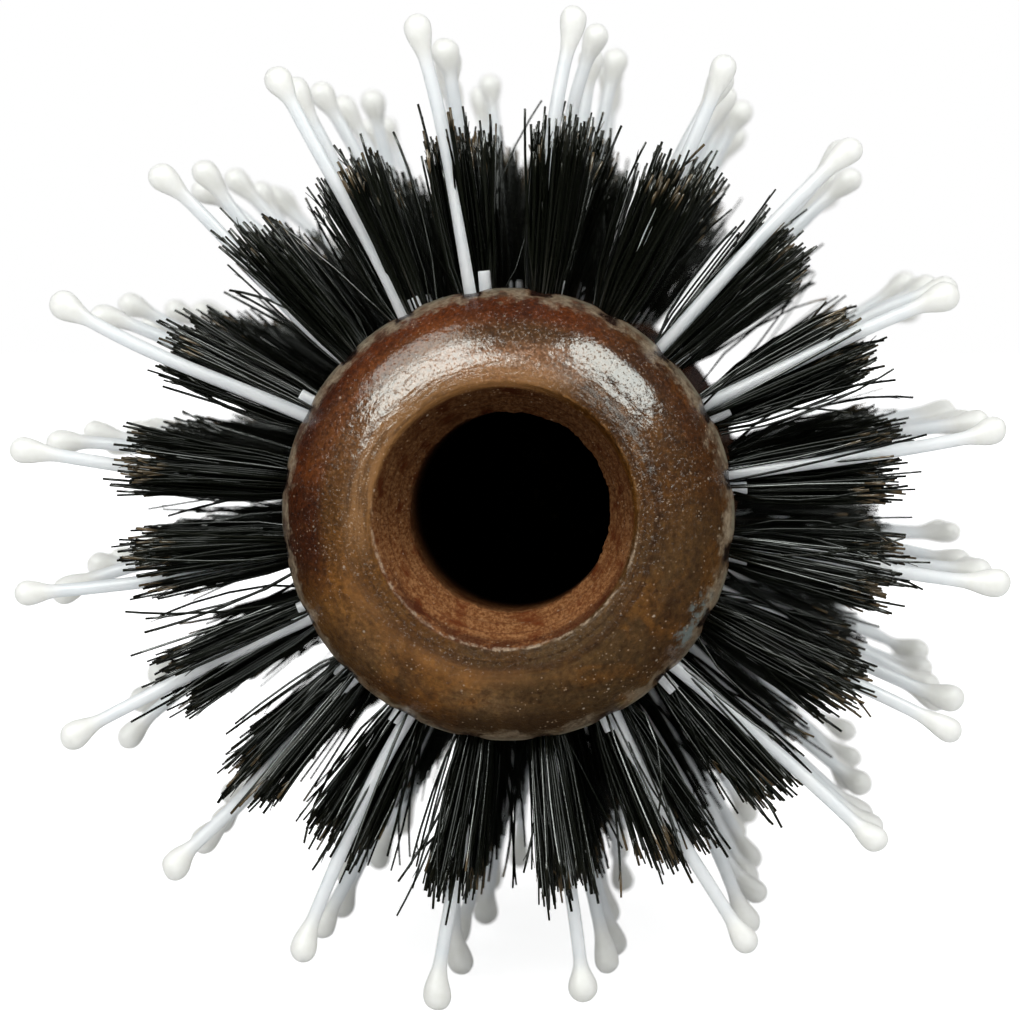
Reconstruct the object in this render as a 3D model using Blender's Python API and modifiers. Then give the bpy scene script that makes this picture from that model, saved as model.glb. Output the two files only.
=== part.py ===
"""Round barrel hair brush: turned wooden barrel, boar-bristle tufts and
ball-tipped nylon pins set in twenty straight rows, and a turned wooden handle
with a tenon glued into the barrel bore.

The brush lies along the Y axis.  The barrel tip faces -Y, the flat handle butt
is centred on the world origin and faces +Y, and +Z is up.

Every piece is modelled in a turning frame first (axis = local Z, tip at the
top) and then laid down as a whole.  Rows are modelled pointing along local +X,
so their X values are distances from the brush axis.  Metres throughout.
"""
import math

import bmesh
import bpy
from mathutils import Matrix, Vector

MM = 0.001

# ------------------------------------------------------------------- overall
TOTAL_LENGTH = 210.0 * MM        # butt of the handle to the tip of the barrel
BARREL_LENGTH = 75.0 * MM
HANDLE_LENGTH = TOTAL_LENGTH - BARREL_LENGTH

# -------------------------------------------------------------------- barrel
BARREL_RADIUS = 14.0 * MM
BARREL_SEGMENTS = 40
MOUTH_RADIUS = 8.1 * MM          # where the countersink meets the tip land
LAND_RADIUS = 9.2 * MM           # outer edge of the flat tip land
BORE_RADIUS = 6.2 * MM           # straight bore right through the barrel
SINK_DEPTH = 4.5 * MM            # depth of the conical countersink
DOME_LENGTH = 5.5 * MM           # length of the rounded tip
DOME_STEPS = 5
REAR_RADIUS = 10.5 * MM          # barrel end face next to the handle
REAR_ROUNDING = 4.0 * MM
REAR_STEPS = 3

# ---------------------------------------------------------------------- rows
ROWS = 20
ROW_START = math.radians(9.0)    # first row, counter-clockwise seen from the tip
TUFTS_PER_ROW = 7
FIRST_TUFT = 9.0 * MM            # first tuft from the tip plane
TUFT_PITCH = 9.5 * MM

# anchor strip under the tuft roots, and the slot around it
ANCHOR_HALF = 0.405 * MM         # half width across the row
ANCHOR_FLOOR = 10.75 * MM
ANCHOR_ROOF = 11.2 * MM
ANCHOR_OVERHANG = 0.55 * MM      # strip past the centres of the end tufts
ANCHOR_CLEARANCE = 0.3 * MM      # gap to the slot at the sides, floor and roof
SLOT_HALF = ANCHOR_HALF + ANCHOR_CLEARANCE
SLOT_FLOOR = ANCHOR_FLOOR - ANCHOR_CLEARANCE
SLOT_ROOF = ANCHOR_ROOF + ANCHOR_CLEARANCE
SLOT_OVERHANG = 0.9 * MM         # slot past the centres of the end tufts

HOLE_RADIUS = 1.60 * MM
HOLE_SIDES = 6
HOLE_FLOOR = SLOT_FLOOR
HOLE_TOP = 15.4 * MM             # cutter runs out past the surface
ROOT_NARROWING = 0.90            # holes and roots are a little narrower across

TUFT_ROOT_RADIUS = 1.25 * MM
TUFT_ROOT = 11.5 * MM            # inner end of the root
TUFT_NECK = 14.3 * MM            # where the tuft starts to flare
TUFT_TIP = 24.9 * MM             # bristle tips
TUFT_HALF_ACROSS = 3.0 * MM      # half spread at the tips, across the row
TUFT_HALF_ALONG = 4.95 * MM      # half spread at the tips, along the row
TUFT_SIDES = 6
TUFT_SMOOTH_ANGLE = 30.0         # degrees; sharper edges stay crisp

PIN_RADIUS = 0.42 * MM
PIN_ROOT = 10.95 * MM
PIN_TIP = 31.5 * MM
PIN_BALL_RADIUS = 0.85 * MM
PIN_BALL_LENGTH = 2.5 * MM       # length of the dipped, drop-shaped tip
PIN_BALL_NOSE = 0.6 * PIN_BALL_RADIUS   # widest ring of the ball to its tip
PIN_SIDES = 5
PIN_SMOOTH_ANGLE = 50.0          # degrees
PIN_CLEARANCE = 0.36 * MM        # circumradial gap between pin and tuft
PATH_OVERRUN = 1.0 * MM          # pin path cutter past both ends of the tuft

# -------------------------------------------------------------------- handle
TENON_RADIUS = 5.9 * MM
TENON_LENGTH = 20.0 * MM
TENON_CHAMFER = 0.8 * MM
JOINT_GAP = 0.3 * MM             # glue line between handle shoulder and barrel
SHOULDER = HANDLE_LENGTH - JOINT_GAP
SHOULDER_RADIUS = 10.2 * MM
HANDLE_SEGMENTS = 30
HANDLE_STEPS = 2                 # curve steps between two turning stations
# turning stations below the shoulder: mm from the butt, radius in mm
HANDLE_STATIONS = (
    (0.0, 5.6), (1.2, 7.4), (4.0, 8.5), (20.0, 9.4), (42.0, 9.9),
    (70.0, 8.7), (96.0, 7.0), (112.0, 6.8), (122.0, 7.9), (130.0, 9.5),
)

# -------------------------------------------------------------------- frames
LAY_DOWN = Matrix.Rotation(math.radians(90.0), 4, "X")   # local +Z -> world -Y
OUTWARD = Matrix.Rotation(math.radians(90.0), 4, "Y")    # built along +Z -> +X

WELD_DISTANCE = 0.002 * MM
SCREW_MERGE_DISTANCE = 0.01 * MM


def tuft_height(index):
    """Local Z of a tuft, counted from the tip."""
    return TOTAL_LENGTH - FIRST_TUFT - index * TUFT_PITCH


def tuft_place(index):
    """Slides a piece along the axis to its tuft."""
    return Matrix.Translation((0, 0, tuft_height(index)))


def row_turn(row):
    """Turns a row about the brush axis to its place."""
    return Matrix.Rotation(ROW_START + row * math.tau / ROWS, 4, "Z")


# ------------------------------------------------------------------- helpers
def clear_scene():
    for item in list(bpy.data.objects):
        bpy.data.objects.remove(item, do_unlink=True)
    for mesh in list(bpy.data.meshes):
        bpy.data.meshes.remove(mesh)
    for group in list(bpy.data.collections):
        bpy.data.collections.remove(group)


def new_collection(name):
    group = bpy.data.collections.new(name)
    bpy.context.scene.collection.children.link(group)
    return group


def principled(name, colour, roughness, coat=0.0):
    material = bpy.data.materials.new(name)
    material.use_nodes = True
    shader = material.node_tree.nodes["Principled BSDF"]
    shader.inputs["Base Color"].default_value = (*colour, 1.0)
    shader.inputs["Roughness"].default_value = roughness
    shader.inputs["Coat Weight"].default_value = coat
    material.diffuse_color = (*colour, 1.0)
    return material


def add_object(name, mesh, group, placement=None):
    item = bpy.data.objects.new(name, mesh)
    group.objects.link(item)
    if placement is not None:
        item.matrix_world = placement
    return item


def finished_mesh(name, bm):
    mesh = bpy.data.meshes.new(name)
    bm.to_mesh(mesh)
    bm.free()
    return mesh


def profile_mesh(name, points, closed):
    """Polyline of (radius, z) points in the XZ plane at +X."""
    count = len(points)
    edges = [(i, i + 1) for i in range(count - 1)]
    if closed:
        edges.append((count - 1, 0))
    mesh = bpy.data.meshes.new(name)
    mesh.from_pydata([(radius, 0.0, z) for radius, z in points], edges, [])
    return mesh


def add_screw(item, segments):
    """Turns a profile about the local Z axis."""
    screw = item.modifiers.new("turning", "SCREW")
    screw.axis = "Z"
    screw.angle = math.tau
    screw.steps = segments
    screw.render_steps = segments
    screw.use_merge_vertices = True
    screw.merge_threshold = SCREW_MERGE_DISTANCE
    screw.use_normal_calculate = False
    screw.use_smooth_shade = True


def add_boolean(item, tool, operation, name):
    boolean = item.modifiers.new(name, "BOOLEAN")
    boolean.operation = operation
    boolean.solver = "EXACT"
    boolean.object = tool


def baked_mesh(name, blank, tools=()):
    """Mesh of a blank with its modifiers applied; blank and tools are removed."""
    bpy.context.view_layer.update()
    graph = bpy.context.evaluated_depsgraph_get()
    mesh = bpy.data.meshes.new_from_object(blank.evaluated_get(graph))
    mesh.name = name
    for item in (blank, *tools):
        spent = item.data
        bpy.data.objects.remove(item, do_unlink=True)
        bpy.data.meshes.remove(spent)
    return mesh


def combined_mesh(name, base, tool_meshes, operation):
    """Boolean of a base mesh with several tool meshes, which are used up."""
    workbench = bpy.context.scene.collection
    blank = add_object(name, base, workbench)
    tools = [add_object(mesh.name, mesh, workbench) for mesh in tool_meshes]
    for tool in tools:
        add_boolean(blank, tool, operation, tool.name)
    return baked_mesh(name, blank, tools)


def weld(bm):
    bmesh.ops.remove_doubles(bm, verts=bm.verts, dist=WELD_DISTANCE)
    bmesh.ops.recalc_face_normals(bm, faces=bm.faces)


def tidy(mesh, smooth_angle):
    """Welds a mesh and shades it smooth up to an angle in degrees."""
    bm = bmesh.new()
    bm.from_mesh(mesh)
    weld(bm)
    bm.to_mesh(mesh)
    bm.free()
    mesh.shade_smooth()
    mesh.set_sharp_from_angle(angle=math.radians(smooth_angle))
    mesh.update()


def row_bar_mesh(name, floor, roof, half_width, overhang):
    """Box along the whole row, running past the centres of the end tufts."""
    low = tuft_height(TUFTS_PER_ROW - 1) - overhang
    top = tuft_height(0) + overhang
    bm = bmesh.new()
    bmesh.ops.create_cube(bm, size=1.0)
    centre = Matrix.Translation(((floor + roof) / 2, 0.0, (low + top) / 2))
    size = Matrix.Diagonal((roof - floor, 2 * half_width, top - low, 1.0))
    bm.transform(centre @ size)
    return finished_mesh(name, bm)


def prism_mesh(name, index, radius, sides, start, end, narrowing=1.0):
    """Right prism along +X at a tuft, narrowed across the row."""
    bm = bmesh.new()
    bmesh.ops.create_cone(
        bm, cap_ends=True, segments=sides, radius1=radius, radius2=radius,
        depth=end - start,
        matrix=OUTWARD @ Matrix.Translation((0, 0, (start + end) / 2))
        @ Matrix.Diagonal((1.0, narrowing, 1.0, 1.0)))
    mesh = finished_mesh(name, bm)
    mesh.transform(tuft_place(index))
    return mesh


# -------------------------------------------------------------------- barrel
def barrel_profile():
    """Closed section of the barrel wall, outer side drawn from the tip down."""
    top = TOTAL_LENGTH
    low = TOTAL_LENGTH - BARREL_LENGTH
    points = [(MOUTH_RADIUS, top), (LAND_RADIUS, top)]
    span = BARREL_RADIUS - LAND_RADIUS
    for i in range(1, DOME_STEPS + 1):         # elliptical dome to full width
        angle = math.radians(90.0 * i / DOME_STEPS)
        points.append((LAND_RADIUS + span * math.sin(angle),
                       top - DOME_LENGTH * (1.0 - math.cos(angle))))
    span = BARREL_RADIUS - REAR_RADIUS
    for i in range(REAR_STEPS + 1):            # rounding next to the handle
        angle = math.radians(90.0 * i / REAR_STEPS)
        points.append((REAR_RADIUS + span * math.cos(angle),
                       low + REAR_ROUNDING * (1.0 - math.sin(angle))))
    points.append((BORE_RADIUS, low))
    points.append((BORE_RADIUS, top - SINK_DEPTH))
    return points


def hole_row_mesh():
    """Seven blind holes and the narrow slot that links their floors."""
    slot = row_bar_mesh("row_slot", SLOT_FLOOR, SLOT_ROOF, SLOT_HALF, SLOT_OVERHANG)
    holes = [prism_mesh("row_hole_%d" % i, i, HOLE_RADIUS, HOLE_SIDES,
                        HOLE_FLOOR, HOLE_TOP, ROOT_NARROWING)
             for i in range(TUFTS_PER_ROW)]
    return combined_mesh("hole_row", slot, holes, "UNION")


def build_hole_cutter(group):
    """Hole pattern for the whole barrel, one closed cutter per row."""
    row_mesh = hole_row_mesh()
    bm = bmesh.new()
    for row in range(ROWS):
        copy = row_mesh.copy()
        copy.transform(row_turn(row))
        bm.from_mesh(copy)
        bpy.data.meshes.remove(copy)
    bpy.data.meshes.remove(row_mesh)
    bmesh.ops.recalc_face_normals(bm, faces=bm.faces)
    name = "stem_holes_cutter"
    cutter = add_object(name, finished_mesh(name, bm), group, LAY_DOWN)
    cutter.hide_render = True
    cutter.display_type = "WIRE"
    return cutter


def build_barrel(group, cutter):
    mesh = profile_mesh("barrel", barrel_profile(), closed=True)
    mesh.materials.append(principled(
        "stained_wood", colour=(0.115, 0.030, 0.016), roughness=0.32, coat=0.5))
    barrel = add_object("barrel", mesh, group, LAY_DOWN)
    add_screw(barrel, BARREL_SEGMENTS)
    add_boolean(barrel, cutter, "DIFFERENCE", "stem_holes")


# -------------------------------------------------------------------- handle
def grip_curve():
    """Catmull-Rom curve through the turning stations, butt to shoulder."""
    stations = [Vector((radius * MM, z * MM)) for z, radius in HANDLE_STATIONS]
    stations.append(Vector((SHOULDER_RADIUS, SHOULDER)))
    last = len(stations) - 1
    curve = []
    for i in range(last):
        before = stations[max(i - 1, 0)]
        start, end = stations[i], stations[i + 1]
        after = stations[min(i + 2, last)]
        for step in range(HANDLE_STEPS):
            t = step / HANDLE_STEPS
            curve.append(0.5 * ((2 * start) + (end - before) * t
                                + (2 * before - 5 * start + 4 * end - after) * t * t
                                + (3 * start - before - 3 * end + after) * t ** 3))
    curve.append(stations[-1])
    return curve


def handle_profile():
    """Tenon, shoulder and turned grip, drawn from the tenon top down."""
    tenon_top = HANDLE_LENGTH + TENON_LENGTH
    points = [(0.0, tenon_top),
              (TENON_RADIUS - TENON_CHAMFER, tenon_top),
              (TENON_RADIUS, tenon_top - TENON_CHAMFER),
              (TENON_RADIUS, SHOULDER)]
    points += [(point.x, point.y) for point in reversed(grip_curve())]
    points.append((0.0, 0.0))
    return points


def build_handle(group):
    mesh = profile_mesh("handle", handle_profile(), closed=False)
    mesh.materials.append(principled(
        "handle_wood", colour=(0.105, 0.028, 0.015), roughness=0.35, coat=0.4))
    handle = add_object("handle", mesh, group, LAY_DOWN)
    add_screw(handle, HANDLE_SEGMENTS)


# -------------------------------------------------------------- bristle rows
def tuft_mesh(name, index):
    """One bunch of bristle: straight root, flaring fan, flat trim."""
    # The flats face along the row, so their spread sets the corner radius.
    tip_along = TUFT_HALF_ALONG / math.cos(math.pi / TUFT_SIDES)
    level = TUFT_ROOT
    across = TUFT_ROOT_RADIUS * ROOT_NARROWING
    along = TUFT_ROOT_RADIUS
    sections = (                 # distance from the axis, half across, half along
        (TUFT_NECK, across, along),
        (TUFT_TIP, TUFT_HALF_ACROSS, tip_along),
    )
    bm = bmesh.new()
    bmesh.ops.create_circle(
        bm, cap_ends=True, segments=TUFT_SIDES, radius=TUFT_ROOT_RADIUS,
        matrix=Matrix.Translation((0, 0, TUFT_ROOT))
        @ Matrix.Diagonal((1.0, ROOT_NARROWING, 1.0, 1.0)))
    bm.faces.ensure_lookup_table()
    face = bm.faces[0]
    for height, new_across, new_along in sections:
        grown = bmesh.ops.extrude_face_region(bm, geom=[face])["geom"]
        verts = [part for part in grown if isinstance(part, bmesh.types.BMVert)]
        if level > TUFT_ROOT:    # the first face stays as the root cap
            bmesh.ops.delete(bm, geom=[face], context="FACES_ONLY")
        face = [part for part in grown if isinstance(part, bmesh.types.BMFace)][0]
        bmesh.ops.translate(bm, verts=verts, vec=(0, 0, height - level))
        bmesh.ops.scale(bm, verts=verts,
                        vec=(new_along / along, new_across / across, 1.0))
        across, along, level = new_across, new_along, height
    bmesh.ops.recalc_face_normals(bm, faces=bm.faces)
    bm.transform(tuft_place(index) @ OUTWARD)
    return finished_mesh(name, bm)


def bristle_row_mesh():
    """Seven tufts whose splayed tips meet, each open along the pin's path."""
    tufts = [tuft_mesh("tuft_%d" % i, i) for i in range(TUFTS_PER_ROW)]
    solid = combined_mesh("bristle_row", tufts[0], tufts[1:], "UNION")
    paths = [prism_mesh("pin_path_%d" % i, i, PIN_RADIUS + PIN_CLEARANCE, PIN_SIDES,
                        TUFT_ROOT - PATH_OVERRUN, TUFT_TIP + PATH_OVERRUN)
             for i in range(TUFTS_PER_ROW)]
    mesh = combined_mesh("bristle_row", solid, paths, "DIFFERENCE")
    tidy(mesh, TUFT_SMOOTH_ANGLE)
    return mesh


# ------------------------------------------------------------------ pin rows
def pin_mesh(name, index):
    """One nylon pin: straight shaft and a drop-shaped dipped tip."""
    points = [(0.0, PIN_TIP),
              (PIN_BALL_RADIUS, PIN_TIP - PIN_BALL_NOSE),
              (PIN_RADIUS, PIN_TIP - PIN_BALL_LENGTH),
              (PIN_RADIUS, PIN_ROOT),
              (0.0, PIN_ROOT)]
    blank = add_object(name, profile_mesh(name, points, closed=False),
                       bpy.context.scene.collection)
    add_screw(blank, PIN_SIDES)
    mesh = baked_mesh(name, blank)
    bm = bmesh.new()
    bm.from_mesh(mesh)
    weld(bm)
    bm.transform(tuft_place(index) @ OUTWARD)
    bm.to_mesh(mesh)
    bm.free()
    return mesh


def pin_row_mesh():
    """Seven pins held by one anchor strip that lies under the tuft roots."""
    strip = row_bar_mesh("anchor", ANCHOR_FLOOR, ANCHOR_ROOF, ANCHOR_HALF,
                         ANCHOR_OVERHANG)
    pins = [pin_mesh("pin_%d" % i, i) for i in range(TUFTS_PER_ROW)]
    mesh = combined_mesh("pin_row", strip, pins, "UNION")
    tidy(mesh, PIN_SMOOTH_ANGLE)
    return mesh


# ------------------------------------------------------------------ assembly
def place_rows(name, mesh, material, group):
    """Sets one shared row mesh all round the barrel."""
    mesh.materials.clear()
    mesh.materials.append(material)
    for row in range(ROWS):
        add_object("%s_%02d" % (name, row + 1), mesh, group, LAY_DOWN @ row_turn(row))


def build():
    clear_scene()
    brush = new_collection("round_barrel_brush")
    cutters = new_collection("round_barrel_brush_cutters")

    build_barrel(brush, build_hole_cutter(cutters))
    build_handle(brush)

    boar = principled("boar_bristle", colour=(0.016, 0.011, 0.009), roughness=0.38)
    place_rows("bristle_row", bristle_row_mesh(), boar, brush)
    nylon = principled("white_nylon", colour=(0.82, 0.86, 0.88), roughness=0.30)
    place_rows("pin_row", pin_row_mesh(), nylon, brush)


build()
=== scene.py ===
import math

import bmesh
import bpy
import numpy as np
from mathutils import Matrix, Vector


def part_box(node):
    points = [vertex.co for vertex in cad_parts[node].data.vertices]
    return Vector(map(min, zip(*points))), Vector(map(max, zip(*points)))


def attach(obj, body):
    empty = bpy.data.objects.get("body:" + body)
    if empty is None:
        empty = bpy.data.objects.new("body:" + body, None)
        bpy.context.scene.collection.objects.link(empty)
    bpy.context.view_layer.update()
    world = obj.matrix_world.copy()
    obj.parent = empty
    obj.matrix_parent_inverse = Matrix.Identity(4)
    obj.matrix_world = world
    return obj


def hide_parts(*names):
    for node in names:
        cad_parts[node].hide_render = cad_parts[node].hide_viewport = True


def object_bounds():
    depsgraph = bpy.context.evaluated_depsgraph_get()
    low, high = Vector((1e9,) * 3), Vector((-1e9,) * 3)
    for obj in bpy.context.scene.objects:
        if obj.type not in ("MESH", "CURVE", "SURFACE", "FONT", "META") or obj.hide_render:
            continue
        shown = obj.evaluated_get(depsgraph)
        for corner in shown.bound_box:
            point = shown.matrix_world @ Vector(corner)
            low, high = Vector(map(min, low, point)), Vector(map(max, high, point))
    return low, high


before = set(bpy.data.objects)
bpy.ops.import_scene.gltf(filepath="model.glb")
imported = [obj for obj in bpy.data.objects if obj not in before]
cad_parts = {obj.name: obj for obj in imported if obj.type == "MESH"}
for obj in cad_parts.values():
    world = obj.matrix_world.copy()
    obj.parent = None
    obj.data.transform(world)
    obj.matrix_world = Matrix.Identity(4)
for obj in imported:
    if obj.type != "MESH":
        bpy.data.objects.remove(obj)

cad_low, cad_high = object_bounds()
MM = 0.001
TIP_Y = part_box("barrel")[0].y            # plane of the tip land
BARREL_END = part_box("barrel")[1].y
HANDLE_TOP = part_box("handle")[0].y       # end of the tenon inside the bore
PIN_TIP = (cad_high.x - cad_low.x) / 2 / math.cos(math.radians(9.0))
ROWS = 20
TUFTS = 7
ROW_START = 9.0
FIRST = 9.0 * MM
PITCH = 9.5 * MM
BARREL_R = 14.0 * MM
RNG = np.random.RandomState(20240)


# ------------------------------------------------------------------ node help
class Graph:
    """Small helper around a material's node tree."""

    def __init__(self, name):
        self.mat = bpy.data.materials.new(name)
        self.mat.use_nodes = True
        self.tree = self.mat.node_tree
        self.tree.nodes.clear()
        self.out = self.tree.nodes.new("ShaderNodeOutputMaterial")

    def link(self, a, b):
        self.tree.links.new(a, b)

    def put(self, socket, value):
        if isinstance(value, bpy.types.NodeSocket):
            self.link(value, socket)
        elif isinstance(value, (tuple, list)) and socket.type == "RGBA":
            socket.default_value = (*value, 1.0) if len(value) == 3 else value
        else:
            socket.default_value = value

    def node(self, kind, **settings):
        item = self.tree.nodes.new(kind)
        for key, value in settings.items():
            setattr(item, key, value)
        return item

    def math(self, op, a, b=0.0, c=None, clamp=False):
        item = self.node("ShaderNodeMath", operation=op, use_clamp=clamp)
        self.put(item.inputs[0], a)
        self.put(item.inputs[1], b)
        if c is not None:
            self.put(item.inputs[2], c)
        return item.outputs[0]

    def ramp(self, value, low, high, out_low=0.0, out_high=1.0):
        item = self.node("ShaderNodeMapRange", interpolation_type="SMOOTHSTEP")
        self.put(item.inputs[0], value)
        for i, v in enumerate((low, high, out_low, out_high)):
            self.put(item.inputs[1 + i], v)
        return item.outputs[0]

    def mix(self, factor, a, b, blend="MIX"):
        item = self.node("ShaderNodeMix", data_type="RGBA", blend_type=blend)
        self.put(item.inputs[0], factor)
        self.put(item.inputs[6], a)
        self.put(item.inputs[7], b)
        return item.outputs[2]

    def noise(self, vector, scale, detail=3.0, rough=0.55, distort=0.0):
        item = self.node("ShaderNodeTexNoise", noise_dimensions="3D")
        self.put(item.inputs["Vector"], vector)
        item.inputs["Scale"].default_value = scale
        item.inputs["Detail"].default_value = detail
        item.inputs["Roughness"].default_value = rough
        item.inputs["Distortion"].default_value = distort
        return item.outputs[0]

    def cells(self, vector, scale, feature="F1"):
        item = self.node("ShaderNodeTexVoronoi", feature=feature)
        self.put(item.inputs["Vector"], vector)
        item.inputs["Scale"].default_value = scale
        return item.outputs[0]

    def scaled(self, vector, x, y, z):
        item = self.node("ShaderNodeVectorMath", operation="MULTIPLY")
        self.put(item.inputs[0], vector)
        item.inputs[1].default_value = (x, y, z)
        return item.outputs[0]

    def combine(self, x, y, z):
        item = self.node("ShaderNodeCombineXYZ")
        for i, v in enumerate((x, y, z)):
            self.put(item.inputs[i], v)
        return item.outputs[0]

    def split(self, vector):
        item = self.node("ShaderNodeSeparateXYZ")
        self.put(item.inputs[0], vector)
        return item.outputs

    def attribute(self, name):
        return self.node("ShaderNodeAttribute", attribute_name=name).outputs[2]

    def place(self):
        return self.node("ShaderNodeTexCoord").outputs["Object"]

    def bump(self, height, strength, distance, normal=None):
        item = self.node("ShaderNodeBump")
        item.inputs["Strength"].default_value = strength
        item.inputs["Distance"].default_value = distance
        self.put(item.inputs["Height"], height)
        if normal is not None:
            self.put(item.inputs["Normal"], normal)
        return item.outputs[0]

    def finish(self, **inputs):
        shader = self.node("ShaderNodeBsdfPrincipled")
        for key, value in inputs.items():
            self.put(shader.inputs[key.replace("_", " ")], value)
        self.link(shader.outputs[0], self.out.inputs[0])
        return self.mat


def wood_material(name, end_grain):
    """Stained and lacquered turned hardwood; `end_grain` adds the tip's looks."""
    g = Graph(name)
    p = g.place()
    x, y, z = g.split(p)
    radius = g.math("SQRT", g.math("ADD", g.math("MULTIPLY", x, x),
                                   g.math("MULTIPLY", z, z)))
    depth = g.math("SUBTRACT", y, TIP_Y)                 # from the tip plane
    angle = g.math("ARCTAN2", z, x)

    cloud = g.noise(p, 120.0, 4.0, 0.6, 0.4)
    cloud2 = g.noise(g.scaled(p, 1.0, 0.35, 1.0), 260.0, 4.0, 0.62, 0.6)
    fine = g.noise(p, 2600.0, 3.0, 0.65)
    streak = g.noise(g.scaled(p, 1.0, 0.045, 1.0), 900.0, 4.0, 0.6, 0.5)
    streak2 = g.noise(g.scaled(p, 1.0, 0.03, 1.0), 2600.0, 2.0, 0.6, 0.2)

    mid = (0.150, 0.058, 0.019)
    deep = (0.068, 0.015, 0.0042)
    amber = (0.270, 0.100, 0.028)
    dusty = (0.128, 0.080, 0.062)
    grain_flow = g.noise(g.scaled(p, 1.0, 0.10, 1.0), 330.0, 4.0, 0.6, 0.8)
    colour = g.mix(g.ramp(grain_flow, 0.34, 0.64), mid, deep)
    colour = g.mix(g.math("MULTIPLY", g.ramp(cloud2, 0.50, 0.78), 0.35),
                   colour, amber)
    colour = g.mix(g.math("MULTIPLY", g.ramp(cloud, 0.45, 0.70), 0.35),
                   colour, (0.060, 0.016, 0.006))
    colour = g.mix(g.math("MULTIPLY", g.ramp(streak, 0.50, 0.72), 0.55),
                   colour, (0.045, 0.013, 0.006))
    colour = g.mix(g.math("MULTIPLY", g.ramp(streak2, 0.56, 0.72), 0.35),
                   colour, (0.30, 0.14, 0.06))

    if end_grain:
        # tip zone: 1 on the land and dome, 0 along the side
        tip = g.ramp(depth, 4.2 * MM, 8.0 * MM, 1.0, 0.0)
        # turning lines follow the radius and depth, wandering a little
        wander = g.math("MULTIPLY", g.noise(p, 140.0, 2.0), 0.9 * MM)
        track = g.math("ADD", g.math("SUBTRACT", radius,
                                     g.math("MULTIPLY", depth, 0.8)), wander)
        lines = g.noise(g.combine(g.math("MULTIPLY", track, 1.0), 0.0, 0.0),
                        1900.0, 3.0, 0.6)
        patch = g.noise(p, 210.0, 3.0, 0.6, 0.5)
        spin = g.combine(g.math("MULTIPLY", g.math("DIVIDE", x, radius), 5 * MM),
                         g.math("MULTIPLY", g.math("DIVIDE", z, radius), 5 * MM),
                         g.math("MULTIPLY", track, 1.0))
        blotch = g.noise(spin, 330.0, 4.0, 0.66, 0.7)
        arcs = g.noise(g.scaled(spin, 0.16, 0.16, 1.0), 3300.0, 3.0, 0.65)
        end = g.mix(g.ramp(blotch, 0.32, 0.68), (0.092, 0.034, 0.0095),
                    (0.195, 0.080, 0.0225))
        # warm band in the middle of the dome, deeper red outside it
        left = g.math("MULTIPLY", g.ramp(x, 3.0 * MM, -10.0 * MM),
                      g.ramp(z, -6.0 * MM, -2.0 * MM))
        rim = g.ramp(g.math("ADD", radius, g.math("MULTIPLY", left, 0.9 * MM)),
                     11.5 * MM, 12.6 * MM)
        high = g.ramp(z, -4.0 * MM, 8.0 * MM)
        red = g.math("MULTIPLY", rim, g.math("MAXIMUM", high, left))
        red = g.math("MULTIPLY", red, g.ramp(patch, 0.74, 0.58))
        red = g.math("MULTIPLY", red, g.ramp(x, 9.0 * MM, 3.0 * MM, 0.30, 1.0))
        flank = g.math("MULTIPLY", g.ramp(radius, 9.4 * MM, 11.6 * MM),
                       g.ramp(patch, 0.42, 0.60))
        end = g.mix(g.math("MULTIPLY", flank, 0.45), end, (0.072, 0.020, 0.005))
        # dusty film over the lower half
        low = g.ramp(g.math("SUBTRACT", z, g.math("MULTIPLY", x, 0.35)),
                     0.5 * MM, -9.0 * MM)
        film = g.math("MULTIPLY", low, g.ramp(cloud, 0.30, 0.60))
        end = g.mix(g.math("MULTIPLY", film, 0.80), end, dusty)
        # rub marks: orange where the stain is thin
        thin = g.math("MULTIPLY", g.ramp(patch, 0.50, 0.62),
                      g.ramp(radius, 8.6 * MM, 9.8 * MM))
        end = g.mix(g.math("MULTIPLY", thin, 0.55), end, (0.260, 0.105, 0.030))
        # turning lines
        end = g.mix(g.math("MULTIPLY", g.ramp(lines, 0.52, 0.62), 0.62), end,
                    (0.060, 0.022, 0.008))
        end = g.mix(g.math("MULTIPLY", g.ramp(lines, 0.44, 0.34), 0.30), end,
                    (0.290, 0.135, 0.048))
        end = g.mix(g.math("MULTIPLY", g.ramp(arcs, 0.55, 0.70), 0.42), end,
                    (0.045, 0.017, 0.006))
        end = g.mix(g.math("MULTIPLY", g.ramp(arcs, 0.45, 0.30), 0.28), end,
                    (0.290, 0.130, 0.042))
        end = g.mix(g.math("MULTIPLY", g.ramp(fine, 0.50, 0.66), 0.55), end,
                    (0.036, 0.013, 0.005))
        end = g.mix(g.math("MULTIPLY", g.ramp(fine, 0.44, 0.30), 0.25), end,
                    (0.330, 0.180, 0.080))
        # pores
        pores = g.cells(g.scaled(p, 1.0, 0.6, 1.0), 1500.0)
        pore = g.math("MULTIPLY", g.ramp(pores, 0.20, 0.10),
                      g.ramp(g.noise(p, 900.0, 2.0), 0.50, 0.60))
        end = g.mix(g.math("MULTIPLY", pore, 0.6), end, (0.030, 0.010, 0.005))
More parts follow.
